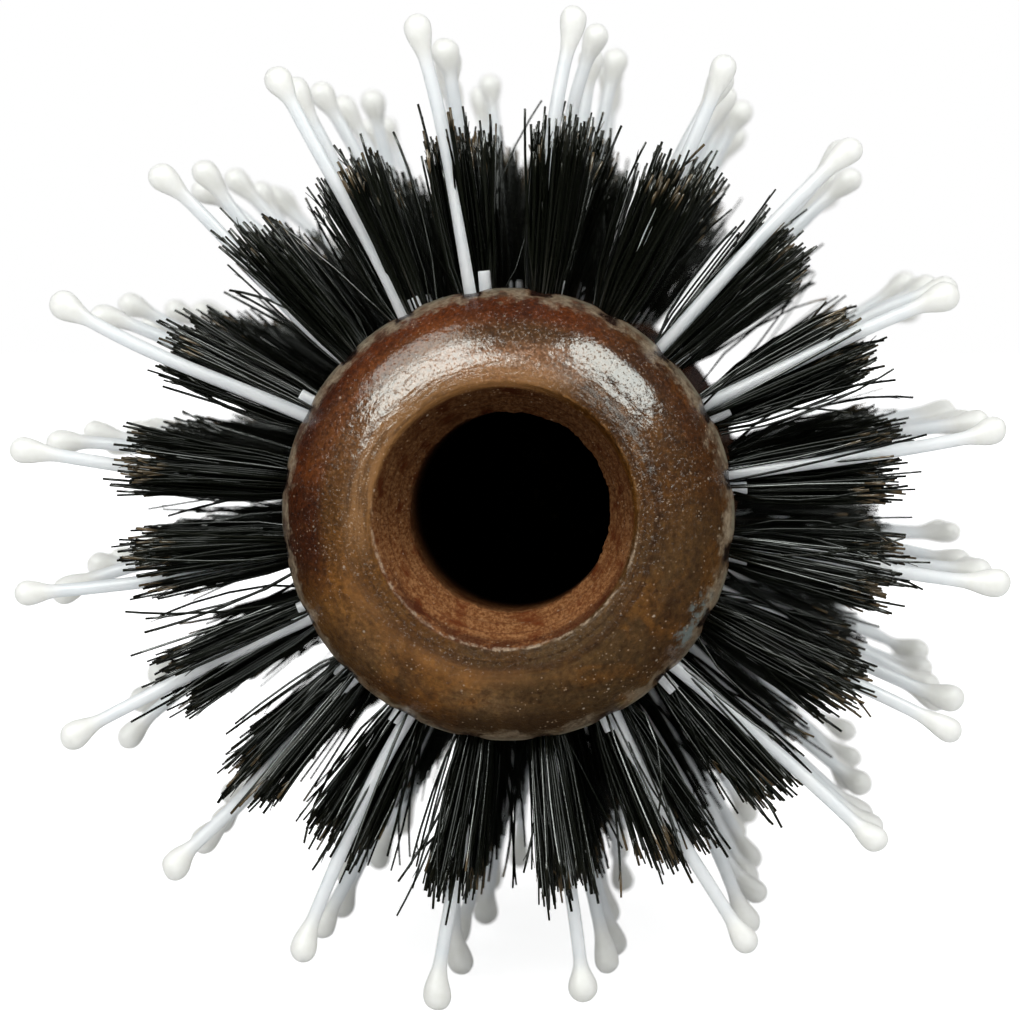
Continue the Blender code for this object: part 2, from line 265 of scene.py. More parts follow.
        # worn, chipped stain near full width
        edge = g.math("MULTIPLY", g.ramp(depth, 2.7 * MM, 3.9 * MM),
                      g.ramp(depth, 8.2 * MM, 6.0 * MM))
        chip = g.math("MULTIPLY", edge, g.ramp(
            g.noise(g.scaled(p, 1.0, 0.7, 1.0), 620.0, 4.0, 0.7), 0.58, 0.63))
        end = g.mix(g.math("MULTIPLY", chip, 0.62), end, (0.36, 0.31, 0.23))
        dark = g.math("MULTIPLY", edge, g.ramp(
            g.noise(g.scaled(p, 1.0, 0.6, 1.0), 480.0, 3.0, 0.7), 0.46, 0.38))
        end = g.mix(g.math("MULTIPLY", dark, 0.8), end, (0.022, 0.008, 0.005))
        # dark notches at the rows of holes, pale worn wood between them
        rows = g.math("MULTIPLY", g.math("COSINE", g.math(
            "MULTIPLY", angle, 20.0)), -1.0)
        ragged = g.noise(p, 850.0, 4.0, 0.7)
        notch = g.math("MULTIPLY", g.ramp(g.math("ADD", rows, g.math(
            "MULTIPLY", ragged, 1.5)), 1.15, 1.55),
            g.ramp(g.math("ADD", depth, g.math("MULTIPLY", ragged, 2.0 * MM)),
                   4.1 * MM, 4.7 * MM))
        end = g.mix(g.math("MULTIPLY", notch, 0.92), end,
                    (0.022, 0.0055, 0.0025))
        bare = g.math("MULTIPLY", g.ramp(g.math("ADD", rows, g.math(
            "MULTIPLY", ragged, -1.6)), -0.70, -1.10),
            g.ramp(g.math("ADD", depth, g.math("MULTIPLY", ragged, 2.0 * MM)),
                   4.9 * MM, 5.9 * MM))
        stained = g.mix(1.0, end, g.mix(g.ramp(z, -1.0 * MM, 6.0 * MM),
                                        (0.50, 0.24, 0.13),
                                        (1.35, 0.66, 0.25)), "MULTIPLY")
        end = g.mix(g.math("MULTIPLY", red, 0.9), end, stained)
        # rubbed warm band between the mouth and the dome, at the top
        rub = g.math("MULTIPLY", g.ramp(g.math("ABSOLUTE", x), 6.5 * MM, 3.0 * MM),
                     g.ramp(g.math("ABSOLUTE", g.math("SUBTRACT", z, 9.4 * MM)),
                            1.7 * MM, 0.6 * MM))
        rub = g.math("MULTIPLY", rub, g.ramp(blotch, 0.30, 0.55, 0.4, 1.0))
        end = g.mix(g.math("MULTIPLY", rub, 0.75), end, (0.40, 0.185, 0.150))
        hue = g.noise(p, 3300.0, 3.0, 0.75)
        tone = g.ramp(hue, 0.30, 0.70, 0.62, 1.0)
        speck = g.noise(p, 5200.0, 2.0, 0.7)
        specked = g.ramp(speck, 0.34, 0.62, 0.52, 1.10)
        tone = g.math("MULTIPLY", tone, g.mix(g.math("MAXIMUM", high, left),
                                              g.ramp(speck, 0.34, 0.62,
                                                     0.78, 1.06), specked))
        dim = g.ramp(radius, 9.6 * MM, 12.6 * MM, 0.80, 0.60)
        tone = g.math("MULTIPLY", tone, dim)
        end = g.mix(1.0, end, g.combine(g.math("MULTIPLY", tone, 1.04),
                                        g.math("MULTIPLY", tone, 0.98),
                                        g.math("MULTIPLY", tone, 0.50)),
                    "MULTIPLY")
        # thin, orange stain low on the left
        ember = g.math("ADD", g.math("MULTIPLY", x, -0.57),
                       g.math("MULTIPLY", z, -0.82))
        ember = g.math("MULTIPLY", g.ramp(ember, 7.7 * MM, 9.9 * MM),
                       g.ramp(radius, 12.9 * MM, 11.2 * MM))
        ember = g.math("MULTIPLY", ember, g.ramp(blotch, 0.30, 0.52, 0.5, 1.0))
        end = g.mix(g.math("MULTIPLY", ember, 0.95), end, g.mix(
            1.0, end, (1.95, 2.05, 2.45), "MULTIPLY"))
        ring = g.math("ADD", g.math("MULTIPLY", x, -0.45),
                      g.math("MULTIPLY", z, -0.89))
        ring = g.math("MULTIPLY", g.ramp(ring, 4.5 * MM, 9.0 * MM),
                      g.ramp(g.math("ABSOLUTE", g.math(
                          "SUBTRACT", track, 10.0 * MM)), 0.75 * MM, 0.20 * MM))
        ring = g.math("MULTIPLY", ring, g.ramp(patch, 0.36, 0.56, 0.3, 1.0))
        end = g.mix(g.math("MULTIPLY", ring, 0.40), end, (0.250, 0.115, 0.040))
        groove = g.math("MULTIPLY", g.ramp(g.math("ABSOLUTE", g.math(
            "SUBTRACT", track, 9.55 * MM)), 0.17 * MM, 0.05 * MM),
            g.ramp(z, -3.5 * MM, -7.0 * MM))
        groove = g.math("MULTIPLY", groove, g.ramp(hue, 0.30, 0.52, 0.35, 1.0))
        end = g.mix(g.math("MULTIPLY", groove, 0.50), end,
                    (0.050, 0.022, 0.009))
        foot = g.math("MULTIPLY", g.ramp(z, -11.2 * MM, -12.6 * MM),
                      g.ramp(blotch, 0.62, 0.42, 0.5, 1.0))
        end = g.mix(g.math("MULTIPLY", foot, 0.75), end, (0.030, 0.014, 0.005))
        # polished, pale band round the mouth, high on the left
        halo = g.math("ADD", g.math("MULTIPLY", x, -0.62),
                      g.math("MULTIPLY", z, 0.78))
        halo = g.math("MULTIPLY", g.ramp(halo, 2.0 * MM, 6.0 * MM),
                      g.ramp(radius, 10.2 * MM, 8.7 * MM))
        halo = g.math("MULTIPLY", halo, g.ramp(arcs, 0.62, 0.46, 0.45, 1.0))
        end = g.mix(g.math("MULTIPLY", halo, 0.62), end, (0.330, 0.165, 0.062))
        warm = g.math("ADD", g.math("MULTIPLY", x, -0.87),
                      g.math("MULTIPLY", z, 0.50))
        warm = g.math("MULTIPLY", g.ramp(warm, 5.0 * MM, 9.0 * MM),
                      g.ramp(g.math("ABSOLUTE", g.math(
                          "SUBTRACT", radius, 10.8 * MM)), 2.2 * MM, 1.0 * MM))
        warm = g.math("MULTIPLY", warm, g.ramp(hue, 0.36, 0.58, 0.25, 1.0))
        warm = g.math("MULTIPLY", warm, g.ramp(z, 0.5 * MM, 4.5 * MM))
        end = g.mix(g.math("MULTIPLY", warm, 0.28), end, (0.290, 0.105, 0.020))
        # worn rim: the stain is rubbed away at full width; it is paler on the upper half
        # as painted light from above
        rim_wear_and_light = g.math("MULTIPLY", g.ramp(
            g.math("ADD", depth, g.math("MULTIPLY", ragged, 3.4 * MM)),
            4.3 * MM, 5.1 * MM), g.ramp(z, -10.0 * MM, -1.0 * MM, 0.65, 1.0))
        rim_wear_and_light = g.math("MULTIPLY", rim_wear_and_light, g.ramp(depth, 5.5 * MM, 4.7 * MM))
        rim_wear_and_light = g.math("MULTIPLY", rim_wear_and_light, g.ramp(
            g.noise(g.scaled(p, 1.0, 0.7, 1.0), 520.0, 4.0, 0.7),
            0.40, 0.54, 0.20, 1.0))
        rim_wear_and_light = g.math("MULTIPLY", rim_wear_and_light, g.math("SUBTRACT", 1.0, notch))
        end = g.mix(g.math("MULTIPLY", rim_wear_and_light, 0.80), end, g.mix(
            g.ramp(fine, 0.35, 0.65), (0.175, 0.130, 0.085),
            (0.350, 0.280, 0.190)))
        bare = g.math("MULTIPLY", bare, g.ramp(depth, 5.9 * MM, 5.0 * MM))
        end = g.mix(g.math("MULTIPLY", bare, 0.70), end, (0.25, 0.235, 0.165))
        # blue-grey scuff on the right of the dome
        scuff = g.math("MULTIPLY", g.ramp(g.math("ABSOLUTE", g.math(
            "ADD", angle, 0.50)), 0.19, 0.10),
            g.ramp(g.math("ABSOLUTE", g.math("SUBTRACT", radius, 13.1 * MM)),
                   0.75 * MM, 0.25 * MM))
        scuff = g.math("MULTIPLY", scuff, g.ramp(
            g.noise(p, 900.0, 4.0, 0.75), 0.46, 0.60))
        end = g.mix(g.math("MULTIPLY", scuff, 0.75), end, (0.15, 0.19, 0.185))
        colour = g.mix(tip, colour, end)
        # countersink: raw, rough and reddish
        seat = g.ramp(radius, 8.05 * MM, 7.85 * MM)
        grit = g.noise(g.scaled(p, 1.0, 0.42, 1.0), 5200.0, 3.0, 0.75)
        seat_colour = g.mix(g.ramp(grit, 0.36, 0.68), (0.098, 0.032, 0.009),
                            (0.225, 0.110, 0.045))
        seat_colour = g.mix(g.ramp(g.noise(p, 520.0, 4.0, 0.65), 0.50, 0.64),
                            seat_colour, (0.085, 0.022, 0.006))
        seat_colour = g.mix(g.math("MULTIPLY", g.ramp(lines, 0.52, 0.60), 0.4),
                            seat_colour, (0.050, 0.014, 0.006))
        lip_at = g.math("SUBTRACT", g.math("SQRT", g.math(
            "ADD", g.math("POWER", g.math("SUBTRACT", x, 0.17 * MM), 2.0),
            g.math("POWER", g.math("SUBTRACT", z, 0.19 * MM), 2.0))), 8.10 * MM)
        lip_at = g.math("ADD", lip_at, g.math("MULTIPLY", g.math(
            "SUBTRACT", g.noise(p, 2200.0, 3.0, 0.7), 0.5), 0.30 * MM))
        # painted shadow: a dark line just inside the lip, on the lower half of the seat
        lip_shadow = g.math("MULTIPLY", g.ramp(lip_at, -0.70 * MM, -0.30 * MM),
                       g.ramp(z, -1.0 * MM, -5.0 * MM))
        lip_shadow = g.math("MULTIPLY", lip_shadow, g.ramp(
            g.noise(p, 900.0, 3.0, 0.7), 0.36, 0.52, 0.3, 1.0))
        seat_colour = g.mix(g.math("MULTIPLY", lip_shadow, 0.80), seat_colour,
                            (0.030, 0.0075, 0.003))
        # painted light and shade: the seat is coloured darker at the top and brighter at
        # the bottom, as light from above falls on it
        lit = g.math("MULTIPLY", g.ramp(z, 2.0 * MM, -6.0 * MM, 0.78, 1.95),
                     g.ramp(z, 7.0 * MM, 1.0 * MM, 0.62, 1.0))
        seat_colour = g.mix(1.0, seat_colour, g.combine(lit, lit, lit),
                            "MULTIPLY")
        colour = g.mix(seat, colour, seat_colour)
        # broken edge of the mouth, bare wood
        mouth = g.math("MULTIPLY", g.ramp(g.math("ABSOLUTE", lip_at),
                                          0.12 * MM, 0.02 * MM),
                       g.ramp(g.noise(p, 1300.0, 4.0, 0.8), 0.40, 0.62))
        mouth = g.math("MULTIPLY", mouth, g.ramp(
            g.noise(p, 300.0, 2.0, 0.5), 0.36, 0.50, 0.15, 1.0))
        mouth = g.math("MULTIPLY", mouth, g.ramp(depth, 0.7 * MM, 0.3 * MM))
        lip = g.ramp(z, 3.0 * MM, -3.0 * MM)
        colour = g.mix(g.math("MULTIPLY", mouth, g.ramp(lip, 0.0, 1.0, 0.5, 0.72)),
                       colour, g.mix(lip, (0.30, 0.150, 0.050),
                                     (0.52, 0.40, 0.28)))
        # painted shade: deeper in the bore the colour goes near black, standing in for the
        # shadow inside the hole
        bore = g.math("MULTIPLY", g.ramp(radius, 6.75 * MM, 6.4 * MM),
                      g.ramp(depth, 4.3 * MM, 13.0 * MM))
        bore = g.math("POWER", bore, 0.45)
        colour = g.mix(bore, colour, (0.0016, 0.0012, 0.001))
        coat = g.math("MULTIPLY", g.ramp(radius, 8.1 * MM, 8.5 * MM), 0.85)
        coat = g.math("MULTIPLY", coat, g.ramp(film, 0.9, 0.2, 0.35, 1.0))
        coat = g.math("MULTIPLY", coat, g.ramp(radius, 11.4 * MM, 12.6 * MM,
                                               1.0, 0.62))
        shine = g.math("SUBTRACT", 1.0, bore)
        line_height = g.math("MULTIPLY", lines, g.ramp(radius, 8.0 * MM, 8.6 * MM))
    else:
        # painted shade: the tenon inside the barrel's bore is coloured near black,
        # standing in for the shadow there
        inside = g.ramp(g.math("SUBTRACT", y, BARREL_END), 0.5 * MM, -1.5 * MM)
        colour = g.mix(inside, colour, (0.002, 0.0015, 0.001))
        coat = g.math("MULTIPLY", g.math("SUBTRACT", 1.0, inside), 0.40)
        shine = 1.0
        line_height = g.noise(g.combine(0.0, y, 0.0), 1500.0, 3.0, 0.6)

    # dust specks, and pale motes that are partly painted glints
    specks = g.cells(p, 1050.0)
    dust = g.math("MULTIPLY", g.ramp(specks, 0.115, 0.06),
                  g.ramp(g.noise(p, 700.0, 2.0), 0.50, 0.57))
    if end_grain:
        dust = g.math("MULTIPLY", dust, shine)
    colour = g.mix(g.math("MULTIPLY", dust, 0.50), colour, (0.52, 0.44, 0.34))
    # partly painted glints: small pale motes that stand in for the lacquer's sparkle as
    # well as for dust
    motes_and_glints = g.math("MULTIPLY", g.ramp(g.cells(p, 2900.0), 0.20, 0.11),
                   g.ramp(g.noise(p, 420.0, 3.0, 0.7), 0.44, 0.60))
    if end_grain:
        motes_and_glints = g.math("MULTIPLY", motes_and_glints, shine)
    colour = g.mix(g.math("MULTIPLY", motes_and_glints, 0.55), colour, (0.46, 0.33, 0.22))

    peel = g.noise(p, 4000.0, 3.0, 0.6, 0.3)
    swirl = peel
    if end_grain:
        swirl = g.noise(g.scaled(spin, 0.55, 0.55, 1.0), 3900.0, 3.0, 0.6, 0.4)
    wave = g.noise(p, 700.0, 2.0, 0.5)
    normal = g.bump(line_height, 0.30, 0.06 * MM)
    normal = g.bump(streak2, 0.18, 0.05 * MM, normal)
    normal = g.bump(g.math("ADD", peel, g.math("MULTIPLY", wave, 0.8)),
                    0.75, 0.10 * MM, normal)
    crumbs = g.ramp(g.noise(p, 5200.0, 2.0, 0.7), 0.58, 0.72)
    coat_height = g.math("ADD", g.math("MULTIPLY", peel, 0.50),
                         g.math("MULTIPLY", swirl, 1.80))
    coat_height = g.math("ADD", coat_height, g.math("MULTIPLY", wave, 1.3))
    coat_normal = g.bump(g.math("ADD", coat_height, g.math(
        "MULTIPLY", crumbs, 0.90)), 0.70, 0.038 * MM)
    rough = g.math("ADD", 0.40, g.math("MULTIPLY", fine, 0.22))
    return g.finish(Base_Color=colour, Roughness=rough, Normal=normal,
                    Specular_IOR_Level=g.math("MULTIPLY", shine, 0.06)
                    if end_grain else 0.10,
                    Coat_Weight=coat, Coat_IOR=1.62 if end_grain else 1.45,
                    Coat_Roughness=0.07 if end_grain else 0.20,
                    Coat_Normal=coat_normal)


def bristle_material():
    """Black boar hair, glossy along its length, tan where the tips are worn."""
    g = Graph("boar_hair")
    along = g.attribute("along")
    shade = g.attribute("shade")
    worn = g.attribute("worn")
    p = g.place()
    black = g.mix(g.ramp(shade, 0.0, 1.0), (0.0020, 0.0026, 0.0014),
                  (0.0085, 0.0100, 0.0058))
    start = g.math("SUBTRACT", 0.97, g.math("MULTIPLY", shade, 0.12))
    tip = g.ramp(g.math("SUBTRACT", along, start), 0.0, 0.08)
    tan = g.mix(shade, (0.050, 0.036, 0.018), (0.185, 0.125, 0.064))
    colour = g.mix(g.math("MULTIPLY", tip, 0.55), black,
                   (0.020, 0.019, 0.011))
    colour = g.mix(g.math("MULTIPLY", tip, worn), colour, tan)
    grain = g.noise(p, 3800.0, 3.0, 0.6)
    colour = g.mix(g.math("MULTIPLY", g.ramp(grain, 0.52, 0.75), 0.4), colour,
                   (0.010, 0.010, 0.008))
    rough = g.math("ADD", 0.09, g.math("MULTIPLY", grain, 0.20))
    normal = g.bump(g.noise(p, 2600.0, 3.0, 0.7), 0.45, 0.05 * MM)
    return g.finish(Base_Color=colour, Roughness=rough, Normal=normal,
                    Specular_IOR_Level=g.ramp(shade, 0.45, 1.0, 0.16, 0.95))


def nylon_material():
    """Milky nylon filament with a dipped, slightly warmer drop at the tip."""
    g = Graph("white_nylon")
    dip = g.attribute("dip")
    p = g.place()
    grain = g.noise(p, 1500.0, 3.0, 0.55)
    haze = g.noise(p, 380.0, 3.0, 0.5)
    shaft = g.mix(g.ramp(haze, 0.3, 0.7), (0.79, 0.845, 0.885),
                  (0.86, 0.90, 0.93))
    drop = g.mix(g.ramp(grain, 0.3, 0.75), (0.88, 0.88, 0.83),
                 (0.93, 0.93, 0.885))
    colour = g.mix(dip, shaft, drop)
    rough = g.math("ADD", g.math("MULTIPLY", dip, 0.10),
                   g.math("ADD", 0.30, g.math("MULTIPLY", grain, 0.12)))
    normal = g.bump(grain, 0.20, 0.05 * MM)
    return g.finish(Base_Color=colour, Roughness=rough, Normal=normal,
                    Subsurface_Weight=0.9,
                    Subsurface_Radius=(1.0, 1.0, 1.0), Subsurface_Scale=0.0011,
                    Specular_IOR_Level=0.45)


# ------------------------------------------------------------------ mesh help
def new_mesh_object(name, verts, faces_by_size, attributes, mat):
    """Mesh from arrays: faces_by_size is a list of (n, k) index arrays."""
    mesh = bpy.data.meshes.new(name)
    verts = np.asarray(verts, np.float32)
    mesh.vertices.add(len(verts))
    mesh.vertices.foreach_set("co", verts.ravel())
    loops = np.concatenate([f.ravel() for f in faces_by_size]).astype(np.int32)
    sizes = np.concatenate([np.full(len(f), f.shape[1]) for f in faces_by_size])
    starts = np.concatenate([[0], np.cumsum(sizes)[:-1]]).astype(np.int32)
    mesh.loops.add(len(loops))
    mesh.loops.foreach_set("vertex_index", loops)
    mesh.polygons.add(len(sizes))
    mesh.polygons.foreach_set("loop_start", starts)
    mesh.update(calc_edges=True)
    for key, values in attributes.items():
        layer = mesh.attributes.new(key, "FLOAT", "POINT")
        layer.data.foreach_set("value", np.asarray(values, np.float32))
    mesh.validate()
    mesh.shade_smooth()
    mesh.materials.append(mat)
    item = bpy.data.objects.new(name, mesh)
    bpy.context.scene.collection.objects.link(item)
    return item


class Tubes:
    """Collects closed tubes along centre lines, then makes one mesh."""

    def __init__(self):
        self.verts, self.faces, self.values = [], {}, {}
        self.count = 0

    def add(self, centres, radii, sides, **values):
        """centres (n, k, 3), radii (n, k); values are arrays (n, k)."""
        n, k, _ = centres.shape
        tangent = np.gradient(centres, axis=1)
        tangent /= np.linalg.norm(tangent, axis=2, keepdims=True) + 1e-12
        ref = np.array([0.0, 0.0, 1.0])
        side = np.cross(tangent, ref)
        side /= np.linalg.norm(side, axis=2, keepdims=True) + 1e-12
        other = np.cross(tangent, side)
        a = np.arange(sides) * math.tau / sides
        ring = (side[:, :, None, :] * np.cos(a)[None, None, :, None]
                + other[:, :, None, :] * np.sin(a)[None, None, :, None])
        v = centres[:, :, None, :] + ring * radii[:, :, None, None]
        base = self.count + (np.arange(n) * k * sides)[:, None, None]
        i = np.arange(k - 1)[None, :, None] * sides
        j = np.arange(sides)[None, None, :]
        j2 = (j + 1) % sides
        quads = np.stack([base + i + j, base + i + j2, base + i + sides + j2,
                          base + i + sides + j], axis=-1).reshape(-1, 4)
        first = (base[:, 0] + np.arange(sides)[None, ::-1]).reshape(-1, sides)
        last = (base[:, 0] + (k - 1) * sides
                + np.arange(sides)[None, :]).reshape(-1, sides)
        self.faces.setdefault(4, []).append(quads)
        self.faces.setdefault(sides, []).extend([first, last])
        self.verts.append(v.reshape(-1, 3))
        for key, value in values.items():
            value = np.broadcast_to(value, (n, k))
            self.values.setdefault(key, []).append(
                np.repeat(value[:, :, None], sides, axis=2).ravel())
        self.count += n * k * sides

    def object(self, name, angle, mat):
        local = np.concatenate(self.verts)
        c, s = math.cos(angle), math.sin(angle)
        world = np.stack([local[:, 0] * c - local[:, 1] * s,
                          TIP_Y - local[:, 2],
                          local[:, 0] * s + local[:, 1] * c], axis=1)
        faces = [np.concatenate(f) for f in self.faces.values()]
        values = {k: np.concatenate(v) for k, v in self.values.items()}
        return new_mesh_object(name, world, faces, values, mat)


def lathe_points(profile, segments, shift=None):
    """Closed ring surface from a closed profile of (radius, depth)."""
    prof = np.asarray(profile, float)
    k = len(prof)
    a = np.arange(segments) * math.tau / segments
    r = np.repeat(prof[:, 0][:, None], segments, axis=1)
    t = np.repeat(prof[:, 1][:, None], segments, axis=1)
    if shift is not None:
        r, t = shift(r, t, np.broadcast_to(a, r.shape))
    verts = np.stack([r * np.cos(a), TIP_Y + t, r * np.sin(a)], axis=-1)
    if shift is not None:
        # the bore was drilled a little off the turned centre
        off = np.clip((9.0 * MM - r) / (1.2 * MM), 0, 1) \
            * np.clip((40 * MM - t) / (30 * MM), 0, 1)
        verts[..., 0] += off * 0.19 * MM
        verts[..., 2] += off * 0.21 * MM
    i = (np.arange(k) * segments)[:, None]
    i2 = (((np.arange(k) + 1) % k) * segments)[:, None]
    j = np.arange(segments)[None, :]
    j2 = (j + 1) % segments
    quads = np.stack([i + j, i + j2, i2 + j2, i2 + j], axis=-1).reshape(-1, 4)
    return verts.reshape(-1, 3), quads


def ripple(a, seed, terms, low, high, power=1.0):
    """Smooth periodic noise of an angle, from a seeded sum of sines."""
    rng = np.random.RandomState(seed)
    out = np.zeros_like(a)
    for _ in range(terms):
        f = rng.randint(low, high)
        out += math.sqrt(low / f) * np.sin(f * a + rng.uniform(0, math.tau))
    out /= math.sqrt(terms / 2)
    return np.sign(out) * np.abs(out) ** power


# -------------------------------------------------------------------- barrel
def barrel_profile():
    """(radius, depth) loop: bore, countersink, land, dome, side, rear end."""
    points = []
    for t in np.linspace(75.0, 6.0, 24):
        points.append((6.20, t))
    points += [(6.20, 5.2), (6.20, 4.85), (6.21, 4.65), (6.25, 4.50),
               (6.32, 4.40)]
    for f in np.linspace(0.06, 0.97, 22):
        points.append((6.32 + (8.06 - 6.32) * f, 4.36 * (1 - f) + 0.10 * f))
    points += [(8.05, 0.16), (8.08, 0.07), (8.13, 0.02), (8.20, 0.0)]
    for r in np.linspace(8.30, 8.60, 4):
        points.append((r, 0.0))
    for i in range(3, 41):
        a = math.radians(90.0 * i / 40)
        points.append((8.1 + 5.9 * math.sin(a),
                       5.5 * (1 - math.cos(a)) * min(1.0, i / 10.0)))
    for t in np.linspace(6.2, 70.6, 62):
        points.append((14.0, t))
    for i in range(0, 11):
        a = math.radians(90.0 * i / 10)
        points.append((10.5 + 3.5 * math.cos(a), 71.0 + 4.0 * math.sin(a)))
    points += [(9.6, 75.0), (8.4, 75.0), (7.2, 75.0)]
    return [(r * MM, t * MM) for r, t in points]


def roughen(r, t, a):
    """Chipped mouth and bore edges, and slow turning waves on the dome."""
    near = np.exp(-((r - 8.09 * MM) / (0.13 * MM)) ** 2) * (t < 0.6 * MM)
    chips = ripple(a, 5, 26, 18, 120)
    bite = np.clip(ripple(a, 9, 20, 9, 60), 0, None) ** 2
    lower = 0.55 + 0.45 * np.clip(-np.sin(a + 0.3), -1, 1)
    r = r + near * (0.045 * MM * chips + 0.085 * MM * bite * lower)
    t = t + near * 0.06 * MM * (0.6 + 0.6 * bite) * (0.7 + 0.3 * chips)
    seat = np.exp(-((r - 6.3 * MM) / (0.22 * MM)) ** 2) \
        * (t < 6.0 * MM) * (t > 3.6 * MM)
    r = r + seat * (0.06 * MM * ripple(a, 21, 24, 12, 110)
                    + 0.05 * MM * ripple(a, 31, 8, 2, 9))
    wall = (r > 6.4 * MM) & (r < 8.0 * MM) & (t < 4.4 * MM)
    r = r + wall * 0.018 * MM * ripple(a * 1.0 + t * 900.0, 41, 20, 20, 140)
    dome = (t < 6.5 * MM) & (r > 8.4 * MM)
    r = r + dome * 0.012 * MM * np.sin(t * 5200.0 + 2 * np.sin(a * 3))
    slow = 0.05 * MM * ripple(a, 51, 4, 2, 5)
    r = r + slow * (r > 8.0 * MM) * np.clip(t / (6 * MM), 0, 1)
    # the wood is cut away a little where each row's first hole breaks out
    rows = np.clip(-np.cos(20 * a), 0, 1) ** 1.5
    rim = np.exp(-((t - 6.6 * MM) / (2.0 * MM)) ** 2) * (r > 12.8 * MM)
    r = r - rows * rim * 0.26 * MM
    return r, t


def make_barrel(mat):
    verts, quads = lathe_points(barrel_profile(), 288, roughen)
    barrel = new_mesh_object("barrel_turned", verts, [quads], {}, mat)
    bm = bmesh.new()
    bm.from_mesh(barrel.data)
    bmesh.ops.recalc_face_normals(bm, faces=bm.faces)
    bm.to_mesh(barrel.data)
    bm.free()
    # one blind drilled hole for each tuft
    bm = bmesh.new()
    for k in range(ROWS):
        turn = Matrix.Rotation(math.radians(ROW_START + 18.0 * k), 4, "Z")
        for i in range(TUFTS):
            at = Matrix.Translation((12.85 * MM, 0, -(FIRST + i * PITCH)))
            bmesh.ops.create_cone(
                bm, cap_ends=True, segments=20, radius1=1.52 * MM,
                radius2=1.62 * MM, depth=5.1 * MM,
                matrix=turn @ at @ Matrix.Rotation(math.pi / 2, 4, "Y"))
    lay = Matrix.Translation((0, TIP_Y, 0)) @ Matrix.Rotation(
        math.pi / 2, 4, "X")
    bm.transform(lay)
    mesh = bpy.data.meshes.new("drill")
    bm.to_mesh(mesh)
    bm.free()
    drill = bpy.data.objects.new("drill", mesh)
    bpy.context.scene.collection.objects.link(drill)
    cut = barrel.modifiers.new("holes", "BOOLEAN")
    cut.operation = "DIFFERENCE"
    cut.solver = "EXACT"
    cut.object = drill
    bpy.context.view_layer.update()
    graph = bpy.context.evaluated_depsgraph_get()
    result = bpy.data.meshes.new_from_object(barrel.evaluated_get(graph))
    barrel.modifiers.clear()
    barrel.data = result
    bpy.data.objects.remove(drill)
    barrel.data.materials.clear()
    barrel.data.materials.append(mat)
    barrel.data.shade_smooth()
    barrel.data.set_sharp_from_angle(angle=math.radians(42))
    return barrel


def make_handle(mat):
    stations = ((0.0, 5.6), (1.2, 7.4), (4.0, 8.5), (20.0, 9.4), (42.0, 9.9),
                (70.0, 8.7), (96.0, 7.0), (112.0, 6.8), (122.0, 7.9),
                (130.0, 9.5), (134.7, 10.2))
    pts = [np.array(s, float) for s in stations]
    curve = []
    for i in range(len(pts) - 1):
        p0, p1, p2 = pts[max(i - 1, 0)], pts[i], pts[i + 1]
        p3 = pts[min(i + 2, len(pts) - 1)]
        steps = max(4, int((p2[0] - p1[0]) / 1.2))
        for q in range(steps):
            u = q / steps
            curve.append(0.5 * (2 * p1 + (p2 - p0) * u
                                + (2 * p0 - 5 * p1 + 4 * p2 - p3) * u * u
                                + (3 * p1 - p0 - 3 * p2 + p3) * u ** 3))
    curve.append(pts[-1])
    total = -TIP_Y / MM
    loop = [(0.02, total), (2.5, total), (5.2, total)]
    loop += [(p[1], total - p[0]) for p in curve]
    loop += [(9.9, total - 134.8), (6.3, total - 134.8), (5.9, total - 135.2),
             (5.9, total - 145.0), (5.9, total - 154.2), (5.7, total - 154.7),
             (5.1, total - 155.0), (2.5, total - 155.0), (0.02, total - 155.0)]
    verts, quads = lathe_points([(r * MM, t * MM) for r, t in loop], 128)
    # two profile ends on the axis are capped, not joined through the wood
    quads = quads[:-128]
    caps = np.stack([np.arange(128)[::-1],
                     np.arange(128) + (len(loop) - 1) * 128])
    handle = new_mesh_object("handle_turned", verts, [quads, caps], {}, mat)
    bm = bmesh.new()
    bm.from_mesh(handle.data)
    bmesh.ops.recalc_face_normals(bm, faces=bm.faces)
    bm.to_mesh(handle.data)
    bm.free()
    handle.data.set_sharp_from_angle(angle=math.radians(40))
    return handle


# ------------------------------------------------------------ bristles, pins
# lean of each row's first pin tip, degrees from its row line
LEAN = (0.92, -0.47, 1.96, 1.64, 1.63, 2.16, 0.96, 1.16, 1.94, 1.68,
        0.65, 0.37, 1.21, 1.38, 0.23, -0.79, 2.05, 3.02, 0.78, 0.65)
# how far out each row's first pin reaches, mm from the brush's axis
LONG = (31.27, 31.03, 31.61, 31.58, 31.91, 31.72, 31.65, 31.54, 31.9, 31.95,
        32.3, 32.0, 31.91, 31.3, 31.94, 31.41, 31.53, 31.35, 31.44, 31.43)
# how far each row's first pin stands in front of its tuft
FRONT = (0.8, 1.0, 0.6, 0.1, 0.1, 0.8, 1.0, -0.3, 1.0, -0.2,
         -0.2, 1.0, 1.0, 0.9, 0.1, 0.3, 0.85, 1.0, -0.3, 0.4)


def pin_places(row, rng):
    """Root offset (across, towards the tip), tip angle and tip radius."""
    places = []
    for i in range(TUFTS):
        if i == 0:
            lean, front, reach = LEAN[row], FRONT[row], LONG[row]
        else:
            lean = 0.45 * LEAN[row] + 0.4 + rng.normal(0, 1.15)
            front = rng.uniform(-0.6, 0.9)
            reach = 31.45 + rng.uniform(-0.5, 0.5)
        places.append((0.42 + rng.normal(0, 0.06), 0.85 * front,
                       math.radians(lean), reach, rng.normal(0, 0.35)))
    return places


